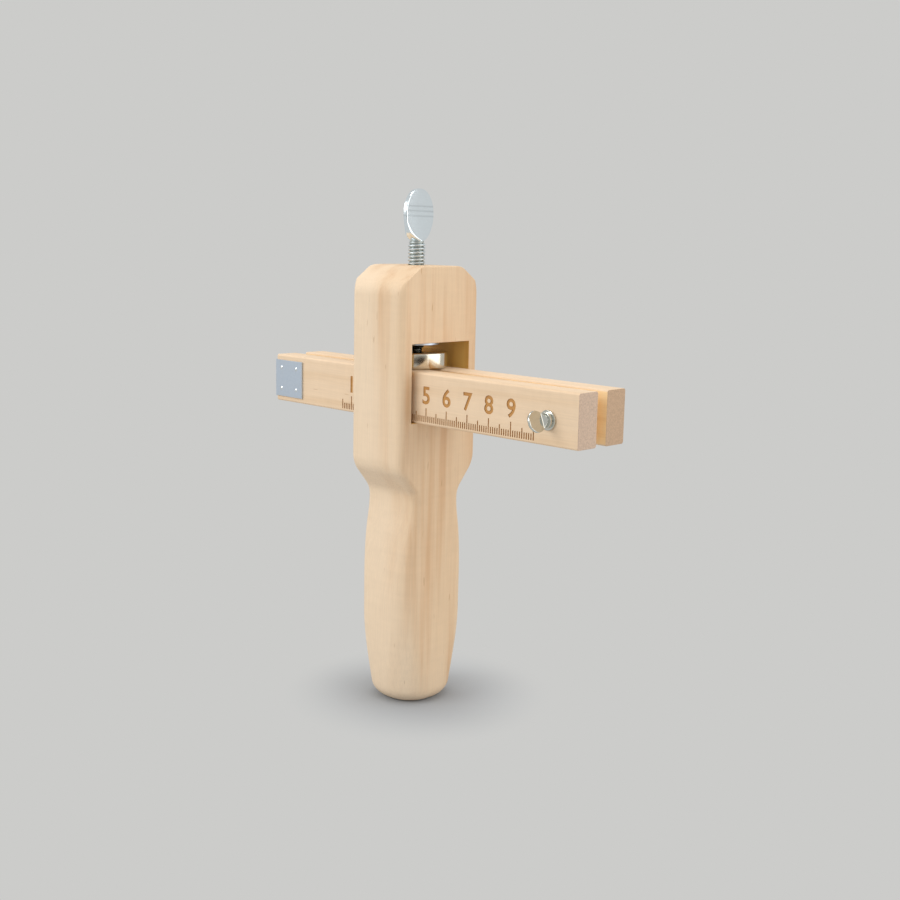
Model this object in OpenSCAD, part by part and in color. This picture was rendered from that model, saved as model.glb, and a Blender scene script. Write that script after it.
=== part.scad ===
// Leather strap cutter: a wooden handle whose head carries two sliding arms.
// The strap passes up through the slot between the arms, against the side of the handle,
// and the blade at the far end of the arms cuts it to width.
// Millimetres. The origin is the middle of the handle's flat foot, +Z runs up the handle,
// +X runs along the arms to the thumb screw end and -Y is the front.

/* [Handle] */
// Thickness of the handle between its two flat sides
handle_w = 27; // [24:0.1:32]
// Depth of the head, front to back
head_d = 39; // [37:0.1:46]
// Depth of the waist, just under the head
waist_d = 22.4; // [20:0.1:26]
// Greatest depth of the grip
grip_d = 32.5; // [29:0.1:37]
// Depth that the grip runs down to at the foot, before the foot's edge is rounded
foot_d = 27.3; // [25:0.1:28.5]
// Height of the grip's greatest depth
belly_z = 34; // [28:0.5:42]
// Height of the waist
waist_z = 77; // [70:0.1:84]
// Slope of the shoulders under the head, from the vertical
shoulder_a = 39.5; // [34:0.5:44]
// Radius of the hollow between the waist and the shoulder's slope
cove_r = 7.9; // [5:0.1:10]
// Radius of the turn from the slope into the head
shoulder_r = 9.8; // [6:0.1:11]
// Radius of the hollow between the waist and the grip
waist_r = 30; // [20:1:50]
// Roundover on the upright edges of the head
head_round = 3; // [2:0.1:5]
// Roundover on the upright edges of the grip, at its greatest depth
grip_round = 8; // [5:0.1:10]
// Roundover on the upright edges at the foot, which is nearly round
foot_corner = 12.6; // [9:0.1:13]
// Rounding of the foot's lower edge
foot_round = 4.4; // [2:0.1:6]
// Depth of the slanting cuts on the top of the head, front to back
top_cut_d = 9.5; // [6:0.1:11]
// Height of the slanting cuts on the top of the head
top_cut_h = 6.8; // [4:0.1:9]
// Radius that softens both ends of the slanting cuts
top_ease = 4.5; // [2:0.1:8]
// Height of the mortise's floor
mortise_z = 106.9; // [104:0.1:114]
// Width of the mortise, front to back
mortise_w = 28.6; // [27.6:0.1:30.6]
// Wood left above the mortise
roof_h = 27.2; // [24:0.1:32]

/* [Arms] */
// Length of both arms
arm_len = 153.6; // [140:0.1:170]
// Thickness of each arm, front to back
arm_t = 9.4; // [8:0.1:10]
// Height of each arm
arm_h = 18.3; // [17:0.1:20]
// Slot between the arms, for the leather
slot_w = 4.8; // [4.6:0.1:6]
// Room between the front arm and the mortise's front wall
front_room = 1.8; // [1.7:0.1:2.4]
// How far the middle of the arms stands to the right of the handle's middle
arm_shift = 10.8; // [0:0.1:20]
// Small bevel along the arms' edges
arm_ease = 0.5; // [0.2:0.1:1]

/* [Blade] */
// Length of the blade, across both arms
blade_len = 18.9; // [17.5:0.1:19.5]
// Height of the blade, from its back to its cutting edge
blade_h = 9.5; // [8:0.1:10]
// Thickness of the blade
blade_t = 0.4; // [0.3:0.05:0.6]
// Height of the ground bevel behind the cutting edge
bevel_h = 2; // [1:0.1:3]
// Width of the cover plate, along the arm
plate_w = 16.2; // [15:0.1:18]
// Height of the cover plate
plate_h = 14.3; // [13:0.1:16]
// Thickness of the cover plate
plate_t = 0.7; // [0.5:0.1:1.2]
// Spacing of the plate's pins along the arm
pin_dx = 9.1; // [7:0.1:11]
// Spacing of the plate's pins up the arm
pin_dz = 8.2; // [6:0.1:10]
// Diameter of the pins' heads
pin_head_d = 1.7; // [1.5:0.1:2]
// How far the pins' heads stand above the plate
pin_head_h = 0.3; // [0.2:0.05:0.4]
// Diameter of the pins
pin_d = 1.1; // [0.8:0.1:1.3]
// Depth of the pins in the arm
pin_len = 6; // [4:0.5:7]

/* [Clamp] */
// Thread diameter of the clamp screw (1/4 inch, 20 threads an inch)
clamp_d = 6.35; // [6:0.05:7]
// Bare thread between the handle's top and the spade head
clamp_show = 8.6; // [5:0.1:12]
// Diameter of the clamp screw's spade head
clamp_head_d = 17.4; // [14:0.1:20]
// Thickness of the spade head at its rim
clamp_head_t = 1.7; // [1.3:0.1:3]
// Diameter of the round neck under the spade head
clamp_neck_d = 4.4; // [3.6:0.1:6]
// Height of the round neck under the spade head
clamp_neck = 1.2; // [0.8:0.1:2.5]
// Height over which the spade head thins from its neck to its rim
clamp_taper = 5.6; // [4:0.1:7]
// Angle that the spade head is turned to
clamp_turn = 12; // [0:1:90]
// Diameter of the pressure pad
pad_d = 24.2; // [22:0.1:26]
// Height of the pressure pad
pad_h = 5.9; // [5:0.1:7]
// Thickness of the pad above its socket
pad_web = 2.4; // [1.8:0.1:3]
// Chamfer on the rims of the pad
pad_ease = 0.6; // [0.3:0.1:1]
// Diameter of the clamp screw's turned-down tip, on which the pad swivels
tip_d = 4; // [3:0.1:5]
// Diameter of the head that the tip is hammered over into
tip_head_d = 7; // [6:0.1:8]
// Height of that head
tip_head_h = 1.2; // [0.8:0.1:1.5]
// Travel of the pad from the arms up to the tee nut
clamp_travel = 2.5; // [2:0.1:4]
// Flange diameter of the clamp's tee nut
nut_flange_d = 17.5; // [16:0.1:19]
// Flange thickness of the clamp's tee nut
nut_flange_t = 1.3; // [1:0.1:1.8]
// Barrel diameter of the clamp's tee nut
nut_barrel_d = 8.4; // [8.2:0.1:9]
// Barrel length of the clamp's tee nut
nut_barrel_h = 11; // [8:0.5:14]
// Width of the prongs of the clamp's tee nut
nut_prong_w = 3.2; // [2:0.1:4]
// Thickness of the prongs of the clamp's tee nut
nut_prong_t = 1.2; // [0.8:0.1:1.6]
// Height of the prongs of the clamp's tee nut
nut_prong_h = 6; // [4:0.1:8]

/* [Adjuster] */
// Thread diameter of the adjusting screw
adjust_d = 3.5; // [3:0.05:4]
// Distance of the adjusting screw from the arms' right end
adjust_inset = 12.4; // [10:0.1:16]
// How far the adjusting screw lies below the middle of the arms
adjust_drop = 0.7; // [0:0.1:1.5]
// Diameter of the adjusting screw's spade head
adjust_head_d = 7.2; // [6.5:0.1:9]
// Thickness of that spade head at its rim
adjust_head_t = 1.2; // [1:0.1:1.8]
// Diameter of the round neck under that spade head
adjust_neck_d = 3.4; // [2.6:0.1:4.2]
// Height of the round neck under that spade head
adjust_neck = 0.4; // [0.2:0.1:1]
// Height over which that spade head thins from its neck to its rim
adjust_taper = 2.3; // [1.5:0.1:3]
// Angle that the spade head is turned to, from upright
adjust_turn = 21; // [0:1:90]
// Diameter of the adjusting screw's round shoulder
collar_d = 5.4; // [4.8:0.1:6]
// Height of the adjusting screw's round shoulder
collar_h = 1.3; // [0.8:0.1:2]
// Diameter of the washer under the shoulder
washer_d = 6.6; // [6.2:0.1:8]
// Thickness of the washer
washer_t = 0.8; // [0.5:0.1:1.2]
// Flange diameter of the tee nut in the rear arm
small_flange_d = 11; // [10:0.1:13]
// Flange thickness of the tee nut in the rear arm
small_flange_t = 1; // [0.8:0.1:1.3]
// Barrel diameter of the tee nut in the rear arm
small_barrel_d = 5; // [4.8:0.1:5.6]
// Barrel length of the tee nut in the rear arm
small_barrel_h = 6; // [5:0.1:7]
// Width of the prongs of the tee nut in the rear arm
small_prong_w = 2; // [1.5:0.1:2.5]
// Thickness of the prongs of the tee nut in the rear arm
small_prong_t = 0.8; // [0.6:0.1:1]
// Height of the prongs of the tee nut in the rear arm
small_prong_h = 3.6; // [2.5:0.1:5]
// Distance of the adjusting screw's tip inside the back of the rear arm
adjust_tip_inset = 0.5; // [0:0.1:2]

/* [Fits] */
// Radial clearance of a screw in its nut
thread_fit = 0.05; // [0.02:0.01:0.1]
// Radial clearance of a pressed-in piece in the wood
press_fit = 0.05; // [0.02:0.01:0.1]
// Radial clearance of a screw in a plain hole
hole_fit = 0.3; // [0.15:0.05:0.5]
// Clearance of the blade in its slots, on each side
blade_fit = 0.1; // [0.05:0.01:0.2]
// Room left under the pad when the clamp is just slack
pad_room = 0.05; // [0:0.01:0.1]
// Room round the headed tip inside the pad
tip_room = 0.5; // [0.3:0.1:1]

/* [Hidden] */
$fn = 64;
// Length by which a cutting shape runs past the face it cuts
over = 1;

wood = "burlywood";
arm_wood = "wheat";
zinc = "lightsteelblue";
bright = "silver";
steel = "slategray";

// Heights that follow from the stack of arms, pad and tee nut in the mortise
mortise_h = arm_h + pad_room + pad_h + clamp_travel + nut_flange_t;
ceiling_z = mortise_z + mortise_h;
handle_h = ceiling_z + roof_h;
arm_top = mortise_z + arm_h;
arm_mid = mortise_z + arm_h / 2;
pad_z = arm_top + pad_room;
pad_top = pad_z + pad_h;
web_z = pad_top - pad_web;

// Front and back faces of the arms
front_y = front_room - mortise_w / 2;
slot_y = front_y + arm_t;
rear_y = slot_y + slot_w;
back_y = rear_y + arm_t;
arm_x0 = arm_shift - arm_len / 2;
arm_x1 = arm_shift + arm_len / 2;

// The cover plate is flush with the arm's left end, and the blade stands behind its middle
plate_x = arm_x0 + plate_w / 2;
adjust_x = arm_x1 - adjust_inset;
adjust_z = arm_mid - adjust_drop;
collar_y = front_y - washer_t;

// Heights of the shoulders under the head, where one stretch of the outline runs into the next
cove_z = waist_z + cove_r * sin(shoulder_a);
slope_d = (head_d - waist_d) / 2 - (cove_r + shoulder_r) * (1 - cos(shoulder_a));
slope_z = cove_z + slope_d / tan(shoulder_a);
head_z = slope_z + shoulder_r * sin(shoulder_a);

// The grip's outline: one long arc below the belly, and two arcs from the belly up to the waist
foot_drop = (grip_d - foot_d) / 2;
foot_arc_r = (belly_z * belly_z + foot_drop * foot_drop) / (2 * foot_drop);
sway = 2 * atan((grip_d - waist_d) / 2 / (waist_z - belly_z));
belly_r = (waist_z - belly_z) / sin(sway) - waist_r;
sway_z = belly_z + belly_r * sin(sway);

// How far an arc of radius r falls away from its tangent after a run
function sag(r, run) = r - sqrt(r * r - run * run);

// Half the handle's depth at a height, from the foot up to the head
function half_depth(z) =
    z < belly_z ? grip_d / 2 - sag(foot_arc_r, belly_z - z) :
    z < sway_z ? grip_d / 2 - sag(belly_r, z - belly_z) :
    z < waist_z ? waist_d / 2 + sag(waist_r, waist_z - z) :
    z < cove_z ? waist_d / 2 + sag(cove_r, z - waist_z) :
    z < slope_z ? waist_d / 2 + sag(cove_r, cove_z - waist_z) + (z - cove_z) * tan(shoulder_a) :
    head_d / 2 - sag(shoulder_r, max(head_z - z, 0));

// Smooth step from 0 to 1
function ease(t) = t * t * (3 - 2 * t);

// Roundover of the upright edges at a height: nearly round at the foot, narrow from the waist up
function edge_round(z) =
    z < belly_z ? grip_round + (foot_corner - grip_round) * ease(1 - z / belly_z) :
    z < waist_z ? grip_round + (head_round - grip_round) * ease((z - belly_z) / (waist_z - belly_z)) :
    head_round;

// The roundover leaves at least a narrow flat on all four sides
least_flat = 0.8;
function corner_round(z) = min(edge_round(z), (handle_w - least_flat) / 2, half_depth(z) - least_flat / 2);

// Points of one level ring of the handle, drawn in by an inset, with rounded corners
corner_steps = 7;
function ring(z, inset) =
    let (a = handle_w / 2 - inset, d = half_depth(z) - inset, r = corner_round(z) - inset)
    [for (q = [0 : 3], k = [0 : corner_steps])
        let (t = 90 * (q + k / corner_steps), sx = q == 0 || q == 3 ? 1 : -1, sy = q < 2 ? 1 : -1)
        [sx * (a - r) + r * cos(t), sy * (d - r) + r * sin(t), z]];
ring_n = 4 * (corner_steps + 1);

// Heights of the rings: close together where the outline turns sharply
foot_steps = 5;
grip_steps = 7;
turn_steps = 4;
function steps(from, to, n) = [for (i = [1 : n]) from + (to - from) * i / n];
body_levels = concat(
    steps(foot_round, belly_z, grip_steps),
    steps(belly_z, sway_z, grip_steps),
    steps(sway_z, waist_z, turn_steps),
    [for (i = [1 : turn_steps]) waist_z + cove_r * sin(shoulder_a * i / turn_steps)],
    [slope_z],
    [for (i = [turn_steps - 1 : -1 : 0]) head_z - shoulder_r * sin(shoulder_a * i / turn_steps)]
);
foot_rings = [for (i = [0 : foot_steps])
    let (t = 90 * i / foot_steps)
    ring(foot_round * (1 - cos(t)), foot_round * (1 - sin(t)))];
grip_rings = concat(foot_rings, [for (z = body_levels) ring(z, 0)]);

// Solid through a stack of rings that all have as many points
module loft(rings) {
    n = len(rings[0]);
    last = len(rings) - 1;
    points = [for (r = rings) for (p = r) p];
    sides = [for (i = [0 : last - 1], j = [0 : n - 1], half = [0, 1])
        let (a = i * n + j, b = i * n + (j + 1) % n)
        half == 0 ? [a, a + n, b + n] : [a, b + n, b]];
    foot = [for (j = [0 : n - 1]) j];
    top = [for (j = [n - 1 : -1 : 0]) last * n + j];
    polyhedron(points, concat([foot], sides, [top]));
}

// Rectangle with round corners
module round_rect(w, d, r) {
    square([w - 2 * r, d], center = true);
    square([w, d - 2 * r], center = true);
    for (sx = [-1, 1], sy = [-1, 1])
        translate([sx * (w / 2 - r), sy * (d / 2 - r)])
            circle(r);
}

// Outline of the head seen from the side, with slanting cuts whose ends are eased
ease_steps = 5;
// The eased ends take up most of a slanting cut at the most
ease_share = 0.9;
cut_turn = atan2(top_cut_d, top_cut_h);
low_reach = tan(cut_turn / 2);
high_reach = tan((90 - cut_turn) / 2);
cut_ease = min(top_ease, ease_share * norm([top_cut_d, top_cut_h]) / (low_reach + high_reach));
head_corner = concat(
    [for (i = [0 : ease_steps])
        let (t = cut_turn * i / ease_steps)
        [head_d / 2 - cut_ease + cut_ease * cos(t),
            handle_h - top_cut_h - cut_ease * low_reach + cut_ease * sin(t)]],
    [for (i = [0 : ease_steps])
        let (t = cut_turn + (90 - cut_turn) * i / ease_steps)
        [head_d / 2 - top_cut_d - cut_ease * high_reach + cut_ease * cos(t),
            handle_h - cut_ease + cut_ease * sin(t)]]
);
head_outline = concat(
    [[head_d / 2, head_z]],
    head_corner,
    [for (i = [len(head_corner) - 1 : -1 : 0]) [-head_corner[i][0], head_corner[i][1]]],
    [[-head_d / 2, head_z]]
);

module head_block() {
    intersection() {
        translate([0, 0, head_z])
            linear_extrude(handle_h - head_z)
                round_rect(handle_w, head_d, head_round);
        translate([-handle_w / 2 - over, 0, 0])
            rotate([90, 0, 90])
                linear_extrude(handle_w + 2 * over)
                    polygon(head_outline);
    }
}

// Prongs of a tee nut, standing up from the top of its flange
prong_count = 4;
module prongs(flange_d, prong_w, prong_t, prong_h) {
    for (i = [0 : prong_count - 1])
        rotate([0, 0, 45 + i * 360 / prong_count])
            translate([flange_d / 2 - prong_t, 0, 0])
                rotate([90, 0, 90])
                    linear_extrude(prong_t)
                        polygon([[-prong_w / 2, 0], [prong_w / 2, 0], [0, prong_h]]);
}

// Tee nut with its flange down, on the plane z = 0, and its barrel up
module tee_nut(flange_d, flange_t, barrel_d, barrel_h, bore_d, prong_w, prong_t, prong_h) {
    difference() {
        union() {
            cylinder(d = flange_d, h = flange_t);
            cylinder(d = barrel_d, h = flange_t + barrel_h);
            translate([0, 0, flange_t])
                prongs(flange_d, prong_w, prong_t, prong_h);
        }
        translate([0, 0, -over])
            cylinder(d = bore_d, h = flange_t + barrel_h + 2 * over);
    }
}

module clamp_tee_nut() {
    color(zinc)
        translate([0, 0, ceiling_z - nut_flange_t])
            tee_nut(nut_flange_d, nut_flange_t, nut_barrel_d, nut_barrel_h,
                clamp_d + 2 * thread_fit, nut_prong_w, nut_prong_t, nut_prong_h);
}

module handle() {
    color(wood)
        difference() {
            union() {
                loft(grip_rings);
                head_block();
            }
            translate([-handle_w / 2 - over, -mortise_w / 2, mortise_z])
                cube([handle_w + 2 * over, mortise_w, mortise_h]);
            translate([0, 0, ceiling_z - over])
                cylinder(d = clamp_d + 2 * hole_fit, h = roof_h + 2 * over);
            translate([0, 0, ceiling_z - over])
                cylinder(d = nut_barrel_d + 2 * press_fit, h = nut_barrel_h + over);
            translate([0, 0, ceiling_z])
                prongs(nut_flange_d, nut_prong_w, nut_prong_t, nut_prong_h);
        }
}

// Forged spade head on the end of a screw: round from the front, thin from the side, on a round
// neck. It stands on the plane z = 0 and faces along X. The blank is thicker than the neck, which
// flares into it.
blank_room = 0.3;
neck_flare = 1.5;
module spade_head(head_d, rim_t, neck_d, neck, taper) {
    root = neck + taper;
    rise = neck + head_d;
    neck_r = neck_d / 2;
    blank_r = neck_r + blank_room;
    intersection() {
        rotate([90, 0, 90])
            translate([0, 0, -blank_r])
                linear_extrude(2 * blank_r)
                    union() {
                        translate([0, neck + head_d / 2])
                            circle(d = head_d);
                        translate([-blank_r, 0])
                            square([2 * blank_r, root]);
                    }
        rotate([90, 0, 0])
            translate([0, 0, -head_d])
                linear_extrude(2 * head_d)
                    polygon([[-blank_r, 0], [blank_r, 0], [rim_t / 2, root],
                        [rim_t / 2, rise], [-rim_t / 2, rise], [-rim_t / 2, root]]);
        rotate_extrude()
            polygon([[0, 0], [neck_r, 0], [neck_r, neck], [neck_r + neck_flare * head_d, rise], [0, rise]]);
    }
}

// The screw's tip is turned down and headed over inside the pad, so that the pad swivels on it
module clamp_screw() {
    color(bright) {
        translate([0, 0, pad_top])
            cylinder(d = clamp_d, h = handle_h + clamp_show - pad_top);
        translate([0, 0, web_z - thread_fit])
            cylinder(d = tip_d, h = pad_web + 2 * thread_fit);
        translate([0, 0, web_z - thread_fit - tip_head_h])
            cylinder(d = tip_head_d, h = tip_head_h);
        translate([0, 0, handle_h + clamp_show])
            rotate([0, 0, clamp_turn])
                spade_head(clamp_head_d, clamp_head_t, clamp_neck_d, clamp_neck, clamp_taper);
    }
}

module pressure_pad() {
    color(bright)
        translate([0, 0, pad_z])
            difference() {
                rotate_extrude()
                    polygon([[0, 0], [pad_d / 2 - pad_ease, 0], [pad_d / 2, pad_ease],
                        [pad_d / 2, pad_h - pad_ease], [pad_d / 2 - pad_ease, pad_h], [0, pad_h]]);
                translate([0, 0, -over])
                    cylinder(d = tip_d + 2 * thread_fit, h = pad_h + 2 * over);
                translate([0, 0, -over])
                    cylinder(d = tip_head_d + 2 * tip_room, h = pad_h - pad_web + over);
            }
}

// Bar with bevelled long edges, lying along X between two faces
module arm_bar(y0) {
    e = arm_ease;
    translate([arm_x0, y0, mortise_z])
        rotate([90, 0, 90])
            linear_extrude(arm_len)
                polygon([[e, 0], [arm_t - e, 0], [arm_t, e], [arm_t, arm_h - e],
                    [arm_t - e, arm_h], [e, arm_h], [0, arm_h - e], [0, e]]);
}

// Thin mortise for the blade, right through one arm
module blade_slot(y0) {
    w = blade_t + 2 * blade_fit;
    h = blade_h + 2 * blade_fit;
    translate([plate_x - w / 2, y0 - over, arm_mid - h / 2])
        cube([w, arm_t + 2 * over, h]);
}

// Round bar along Y between two places on the adjusting screw's axis, also used to cut holes
module adjust_round(d, y0, y1) {
    translate([adjust_x, y0, adjust_z])
        rotate([-90, 0, 0])
            cylinder(d = d, h = y1 - y0);
}

// Places of the four pins
module at_pins() {
    for (sx = [-1, 1], sz = [-1, 1])
        translate([plate_x + sx * pin_dx / 2, front_y, arm_mid + sz * pin_dz / 2])
            rotate([90, 0, 0])
                children();
}

module front_arm() {
    color(arm_wood)
        difference() {
            arm_bar(front_y);
            blade_slot(front_y);
            adjust_round(adjust_d + 2 * hole_fit, front_y - over, slot_y + over);
            at_pins()
                translate([0, 0, -pin_len])
                    cylinder(d = pin_d + 2 * press_fit, h = pin_len + over);
        }
}

// Brings a tee nut into the rear arm, flange flush with the arm's back
module at_small_nut() {
    translate([adjust_x, back_y, adjust_z])
        rotate([90, 0, 0])
            children();
}

module rear_arm() {
    color(arm_wood)
        difference() {
            arm_bar(rear_y);
            blade_slot(rear_y);
            adjust_round(adjust_d + 2 * hole_fit, rear_y - over, back_y + over);
            adjust_round(small_barrel_d + 2 * press_fit, back_y - small_flange_t - small_barrel_h, back_y + over);
            adjust_round(small_flange_d + 2 * press_fit, back_y - small_flange_t, back_y + over);
            at_small_nut()
                translate([0, 0, small_flange_t])
                    prongs(small_flange_d, small_prong_w, small_prong_t, small_prong_h);
        }
}

module adjust_tee_nut() {
    color(zinc)
        at_small_nut()
            tee_nut(small_flange_d, small_flange_t, small_barrel_d, small_barrel_h,
                adjust_d + 2 * thread_fit, small_prong_w, small_prong_t, small_prong_h);
}

// Blade on edge across the slot, its ground edge upwards
module blade() {
    t = blade_t / 2;
    color(steel)
        translate([plate_x, front_y + blade_len, arm_mid - blade_h / 2])
            rotate([90, 0, 0])
                linear_extrude(blade_len)
                    polygon([[-t, 0], [t, 0], [t, blade_h - bevel_h], [0, blade_h], [-t, blade_h - bevel_h]]);
}

module blade_plate() {
    color(zinc)
        difference() {
            translate([arm_x0, front_y - plate_t, arm_mid - plate_h / 2])
                cube([plate_w, plate_t, plate_h]);
            at_pins()
                translate([0, 0, -over])
                    cylinder(d = pin_d + 2 * press_fit, h = plate_t + 2 * over);
        }
}

// Turned profile of a pin: a plain shank under a domed head
dome_steps = 4;
pin_profile = concat(
    [[0, -pin_len], [pin_d / 2, -pin_len], [pin_d / 2, plate_t]],
    [for (i = [0 : dome_steps - 1])
        let (t = 90 * i / dome_steps)
        [pin_head_d / 2 * cos(t), plate_t + pin_head_h * sin(t)]],
    [[0, plate_t + pin_head_h]]
);

module plate_pins() {
    color(bright)
        at_pins()
            rotate_extrude()
                polygon(pin_profile);
}

module adjust_washer() {
    color(bright)
        difference() {
            adjust_round(washer_d, collar_y, front_y);
            adjust_round(adjust_d + 2 * hole_fit, collar_y - over, front_y + over);
        }
}

module adjust_screw() {
    color(bright) {
        adjust_round(adjust_d, collar_y, back_y - adjust_tip_inset);
        adjust_round(collar_d, collar_y - collar_h, collar_y);
        translate([adjust_x, collar_y - collar_h, adjust_z])
            rotate([90, 0, 0])
                rotate([0, 0, adjust_turn])
                    spade_head(adjust_head_d, adjust_head_t, adjust_neck_d, adjust_neck, adjust_taper);
    }
}

handle();
clamp_tee_nut();
clamp_screw();
pressure_pad();
front_arm();
rear_arm();
blade();
blade_plate();
plate_pins();
adjust_screw();
adjust_washer();
adjust_tee_nut();
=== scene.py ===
import math

import bmesh
import bpy
from mathutils import Matrix, Vector


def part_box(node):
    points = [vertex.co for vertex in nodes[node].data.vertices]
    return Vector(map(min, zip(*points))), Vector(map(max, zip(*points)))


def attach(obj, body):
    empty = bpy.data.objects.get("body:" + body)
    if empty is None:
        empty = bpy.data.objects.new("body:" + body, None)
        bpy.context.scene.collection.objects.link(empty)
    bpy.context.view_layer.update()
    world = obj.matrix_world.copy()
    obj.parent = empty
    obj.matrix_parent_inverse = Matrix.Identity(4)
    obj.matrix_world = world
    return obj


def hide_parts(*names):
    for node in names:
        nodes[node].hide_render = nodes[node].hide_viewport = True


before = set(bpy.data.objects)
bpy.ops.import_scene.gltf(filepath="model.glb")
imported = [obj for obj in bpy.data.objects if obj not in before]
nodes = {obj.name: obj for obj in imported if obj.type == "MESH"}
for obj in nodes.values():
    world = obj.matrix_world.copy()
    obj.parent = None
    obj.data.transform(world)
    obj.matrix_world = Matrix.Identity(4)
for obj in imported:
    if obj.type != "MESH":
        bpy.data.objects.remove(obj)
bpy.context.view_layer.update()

MM = 0.001
UP = (0, 0, 1)
BACK = (0, 1, 0)

# Camera, found by fitting the object's edges to the photograph
CAMERA_PLACE = Vector((330.3, -315.6, 173.0)) * MM
CAMERA_YAW = math.radians(44.608)
CAMERA_PITCH = math.radians(9.770)
CAMERA_ROLL = math.radians(1.187)
CAMERA_FOCUS_PX = 1247.5
CAMERA_NEAR = 0.01
PICTURE_PX = 900
SENSOR_MM = 36

# Studio, in metres and watts: the grey that floor and background share, the middle of the floor's shaded
# part, how far from there it is shaded in full and where it has run into the plain grey, and the lamps by
# name, place, size and power
BACKDROP = "CCCCCA"
AIR_COLOUR = "FFFFFF"
AIR_STRENGTH = 0.75
# The floor's own grey where it takes the shadow is darker and bluer than the backdrop: painted shadow around
# the foot, on top of the real one
FLOOR_PAINTED_SHADOW_GREY = "ACAFB2"
FLOOR_ROUGHNESS = 0.9
FLOOR_SIZE = 1.3
FLOOR_SHADE_MIDDLE = (0.002, 0.002, 0)
FLOOR_SHADED = 0.012
FLOOR_PLAIN = 0.053
LAMP_AIM = Vector((0, 0, 0.1))
SOFT_BOXES = (
    ("key_softbox", (-0.55, -1.35, 0.8), 0.9, 9.7),
    ("top_softbox", (-0.03, 0.06, 1.45), 0.5, 5),
    ("side_softbox", (1.28, 0.65, 0.35), 1.5, 9.8),
)

# Dark room that polished metal reflects, a low, flat patch to the front right: its colour, how directions
# are stretched upwards so that it comes out flat, its middle among the stretched directions, and how far
# from there it is dark in full and where it ends
DARK_ROOM = "34271C"
DARK_ROOM_STRETCH = (1, 1, 5)
DARK_ROOM_WAY = (0.91, -0.405, -0.46)
DARK_ROOM_EDGES = (0.46, 0.56)

# Lime wood, in millimetres: each pattern's size, twice across and once along the grain, then the detail and
# roughness of its noise. Real fibres and pores are too fine to show, so they are drawn some five times as
# coarse.
WOOD_PATTERNS = {
    "drift": ((13, 13, 110), 2, 0.5),
    "bands": ((5.6, 5.6, 130), 3, 0.5),
    "lines": ((1.0, 1.0, 60), 1, 0.5),
    "fibre": ((0.45, 0.45, 16), 3, 0.6),
    "ripple": ((9, 9, 2.2), 2, 0.5),
    "fleck": ((1.0, 1.0, 6), 0, 0.5),
    "pores": ((0.55, 0.55, 0.55), 3, 0.65),
}
# How far the border of the heartwood wanders, and how wide it is
HEART_WANDER = 30
HEART_BORDER = 22
# Noise where a streak starts and where it is full, and its share then. Only some of it shows on the sapwood.
WOOD_STREAKS = {"bands": (0.44, 0.72, 0.8), "lines": (0.58, 0.76, 0.2)}
SAP_STREAKS = 0.1
# Darkest and lightest tone of fibres and ripple, over the range that most noise lies in
WOOD_TONES = {"fibre": (0.955, 1.03), "ripple": (0.982, 1.014)}
NOISE_LOW = 0.3
NOISE_HIGH = 0.7
FLECK_BROWN = "A5753F"
FLECK_NOISE = (0.83, 0.89)
FLECK_SHARE = 0.4
# How squarely a face cuts the grain where pores start to show and where they show in full
END_FACING = (0.25, 0.65)
PORE_NOISE = (0.35, 0.65)
PORE_TONES = (0.85, 1.09)
WOOD_ROUGHNESS = (0.50, 0.62)
WOOD_IOR = 1.45
FIBRE_RELIEF = 0.06
FIBRE_BUMP = 0.25

# Plated steel: a hair line's length in widths, the detail of both noises, and the wear at which the plating
# is smoothest and roughest
HAIR_LENGTH = 40
HAIR_DETAIL = 2
CLOUD_DETAIL = 3
WEAR_NOISE = (0.12, 0.38)

# Handle, in millimetres: depths, heights and radii of its outline, roundovers of its upright edges and its
# foot, the slanting cuts on its head, its mortise and its bores
WAIST_D = 22.4
GRIP_D = 32.5
FOOT_D = 27.3
BELLY_Z = 34
WAIST_Z = 77
SHOULDER_ANGLE = math.radians(39.5)
COVE_R = 7.9
SHOULDER_R = 9.8
WAIST_R = 30
HEAD_ROUND = 3
GRIP_ROUND = 8
FOOT_CORNER = 12.6
FOOT_ROUND = 5.6
TOP_CUT_D = 9.5
TOP_CUT_H = 6.8
TOP_EASE = 7.5
TOP_EDGE = 0.6
MORTISE_LOW = 106.9
MORTISE_HIGH = 134.95
MORTISE_W = 28.6
MORTISE_EASE = 0.3
CLAMP_BORE_R = 3.475
NUT_BORE_R = 4.25
NUT_BORE_TOP = 146

# Steps round a corner of the handle, and up each stretch of its outline
CORNER_STEPS = 10
FOOT_STEPS = 8
BELLY_STEPS = 16
SWAY_STEPS = 18
WAIST_STEPS = 8
COVE_STEPS = 8
SHOULDER_STEPS = 10
CUT_STEPS = 8
TOP_STEPS = 20

# Arms, plate, pins, blade and nuts, in millimetres
ARM_BEVEL = 0.5
ARM_EASE = 0.22
BLADE_SLOT_W = 0.6
BLADE_SLOT_H = 9.7
BLADE_EASE = 0.03
SCREW_HOLE_R = 2.05
NUT_RECESS_R = 5.55
NUT_RECESS_DEEP = 1
NUT_HOLE_R = 2.55
NUT_HOLE_DEEP = 7
CLAMP_NUT_EASE = 0.12
ADJUST_NUT_EASE = 0.1
PLATE_EASE = 0.16
PIN_HEAD_R = 0.85
PIN_HEAD_H = 0.3
PIN_TOP_R = 0.1
PIN_STEPS = 6
PIN_R = 0.55
PIN_HOLE_R = 0.6
PIN_DEEP = 6

# Width scale burnt into the front arm, in millimetres: it is read at the handle's right side,
# where a mark stands as far from the scale's zero as the strap is wide
SCALE_ZERO_X = -30.9
SCALE_FIRST = 5
SCALE_LAST = 100
SCALE_BURN = 0.25
SCALE_MARGIN = 1
SCALE_RISE = 0.5
CENTIMETRE = 10
TICK_W = 0.45
TICK_LENGTHS = {CENTIMETRE: 5.0, 5: 3.6, 1: 2.2}
NUMERAL_SIZE = 8.6
NUMERAL_BOLD = 0.18
NUMERAL_RISE = 6.6
NUMERAL_CURVE = 5
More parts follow.
